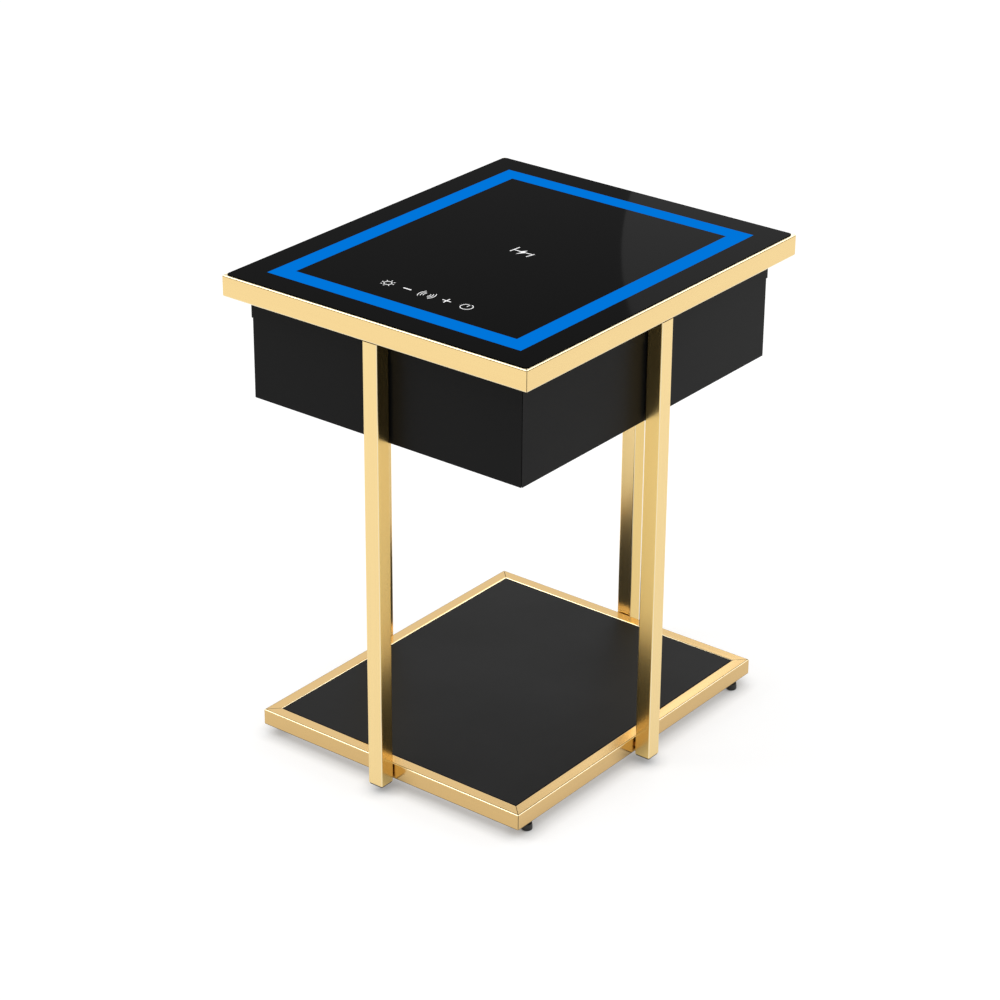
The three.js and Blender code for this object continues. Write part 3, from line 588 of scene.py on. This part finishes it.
def power_mark(x, y):
    """A ring with a gap at the top, and a bar in the gap."""
    ring = bow(x, y, POWER_RADIUS, 90 + POWER_GAP, 450 - POWER_GAP, POWER_LINE, POWER_ARC_STEPS)
    return ring + [stroke(x, y + POWER_BAR_LOW, x, y + POWER_BAR_HIGH, POWER_LINE)]


def charge_mark(x, y):
    """A bolt on a line between two bars."""
    pieces = [stroke(x + x0, y + y0, x + x1, y + y1, CHARGE_LINE) for (x0, y0), (x1, y1) in CHARGE_STROKES]
    return pieces + [[(x + dx, y + dy) for dx, dy in CHARGE_BOLT]]


def print_mark(name, pieces):
    raised(f"mark_{name}", pieces, glass_top, FILM, GLOWING_PRINT)


def printed_marks():
    """The row of five touch marks, and the charging mark."""
    keys = {"sun": sun_mark, "minus": minus_mark, "sound": sound_mark, "plus": plus_mark, "power": power_mark}
    first_x = KEY_ROW_X - (len(keys) - 1) / 2 * KEY_PITCH
    for index, (name, draw) in enumerate(keys.items()):
        print_mark(name, draw(first_x + index * KEY_PITCH, KEY_ROW_Y))
    print_mark("charge", charge_mark(CHARGE_MARK_X, CHARGE_MARK_Y))


# Floor, light and camera


def seen_or_light(tree, seen, light):
    """One strength for rays from the camera, reflections and glass, and another for light on surfaces."""
    path = tree.nodes.new("ShaderNodeLightPath")
    total = path.outputs["Is Camera Ray"]
    for ray in ("Is Glossy Ray", "Is Transmission Ray"):
        add = tree.nodes.new("ShaderNodeMath")
        add.operation = "ADD"
        add.use_clamp = True
        tree.links.new(total, add.inputs[0])
        tree.links.new(path.outputs[ray], add.inputs[1])
        total = add.outputs["Value"]
    strength = tree.nodes.new("ShaderNodeMapRange")
    strength.inputs["To Min"].default_value = light
    strength.inputs["To Max"].default_value = seen
    tree.links.new(total, strength.inputs["Value"])
    return strength.outputs["Result"]


def floor():
    """A white floor with a glow that is cut off close under the table, so that its contact shadow shows."""
    mesh = bpy.data.meshes.new("floor")
    corners = [(x * FLOOR_REACH, y * FLOOR_REACH, 0) for x, y in CORNERS.values()]
    mesh.from_pydata(corners, [], [range(len(corners))])
    obj = bpy.data.objects.new("floor", mesh)
    bpy.context.scene.collection.objects.link(obj)
    material, tree, shader = new_material("floor")
    first, second = ((grey,) * 3 for grey in FLOOR_GREYS)
    tree.links.new(colour_between(tree, noise(tree, FLOOR_GRAIN), first, second), shader.inputs["Base Color"])
    shader.inputs["Roughness"].default_value = FLOOR_ROUGHNESS
    shader.inputs["Specular IOR Level"].default_value = FLOOR_SHINE
    tree.links.new(seen_or_light(tree, FLOOR_GLOW, 0.0), shader.inputs["Emission Strength"])
    near = tree.nodes.new("ShaderNodeAmbientOcclusion")
    near.inputs["Distance"].default_value = SHADOW_REACH
    tree.links.new(near.outputs["Color"], shader.inputs["Emission Color"])
    obj.data.materials.append(material)


def world():
    scene = bpy.context.scene
    scene.world = bpy.data.worlds.new("studio")
    scene.world.use_nodes = True
    tree = scene.world.node_tree
    background = tree.nodes["Background"]
    background.inputs["Color"].default_value = (1, 1, 1, 1)
    tree.links.new(seen_or_light(tree, WORLD_SEEN, WORLD_LIGHT), background.inputs["Strength"])


def area_light(name, place, aim, size, watts, shape="RECTANGLE"):
    data = bpy.data.lights.new(name, "AREA")
    data.shape = shape
    data.size, data.size_y = size
    data.energy = watts
    obj = bpy.data.objects.new(name, data)
    obj.location = place
    direction = Vector(aim) - Vector(place)
    obj.rotation_euler = direction.to_track_quat("-Z", "Y").to_euler()
    obj.visible_camera = False
    bpy.context.scene.collection.objects.link(obj)


def lights():
    area_light("front_key", (-2.2, -1.9, 3.1), TABLE_MIDDLE, size=(1.6, 1.6), watts=29)
    area_light("back_key", (1.8, 2.9, 2.6), TABLE_MIDDLE, size=(1.6, 1.2), watts=13)
    area_light("glass_glow", (-0.363, 1.225, 1.034), GLOW_SPOT, size=(0.6, 0.6), watts=1.3, shape="ELLIPSE")
    area_light("rim_glow", (-2.6, 3.4, 2.2), TABLE_MIDDLE, size=(3.0, 2.0), watts=2.4)


def camera():
    data = bpy.data.cameras.new("camera")
    data.sensor_width = SENSOR_MM
    data.lens = FOCAL_PIXELS / FRAME_PIXELS * SENSOR_MM
    obj = bpy.data.objects.new("camera", data)
    forward = Vector((
        -math.sin(CAMERA_TURN) * math.cos(CAMERA_DIP),
        math.cos(CAMERA_TURN) * math.cos(CAMERA_DIP),
        -math.sin(CAMERA_DIP),
    ))
    right = forward.cross(Vector((0, 0, 1))).normalized()
    up = right.cross(forward)
    rolled_right = math.cos(CAMERA_ROLL) * right + math.sin(CAMERA_ROLL) * up
    rolled_up = math.cos(CAMERA_ROLL) * up - math.sin(CAMERA_ROLL) * right
    turn = Matrix((rolled_right, rolled_up, -forward)).transposed()
    obj.matrix_world = Matrix.Translation(CAMERA_PLACE) @ turn.to_4x4()
    bpy.context.scene.collection.objects.link(obj)
    bpy.context.scene.camera = obj


dress_nodes()
light_band()
corner_beads()
printed_marks()
floor()
world()
lights()
camera()
bpy.context.scene.view_settings.view_transform = "Standard"
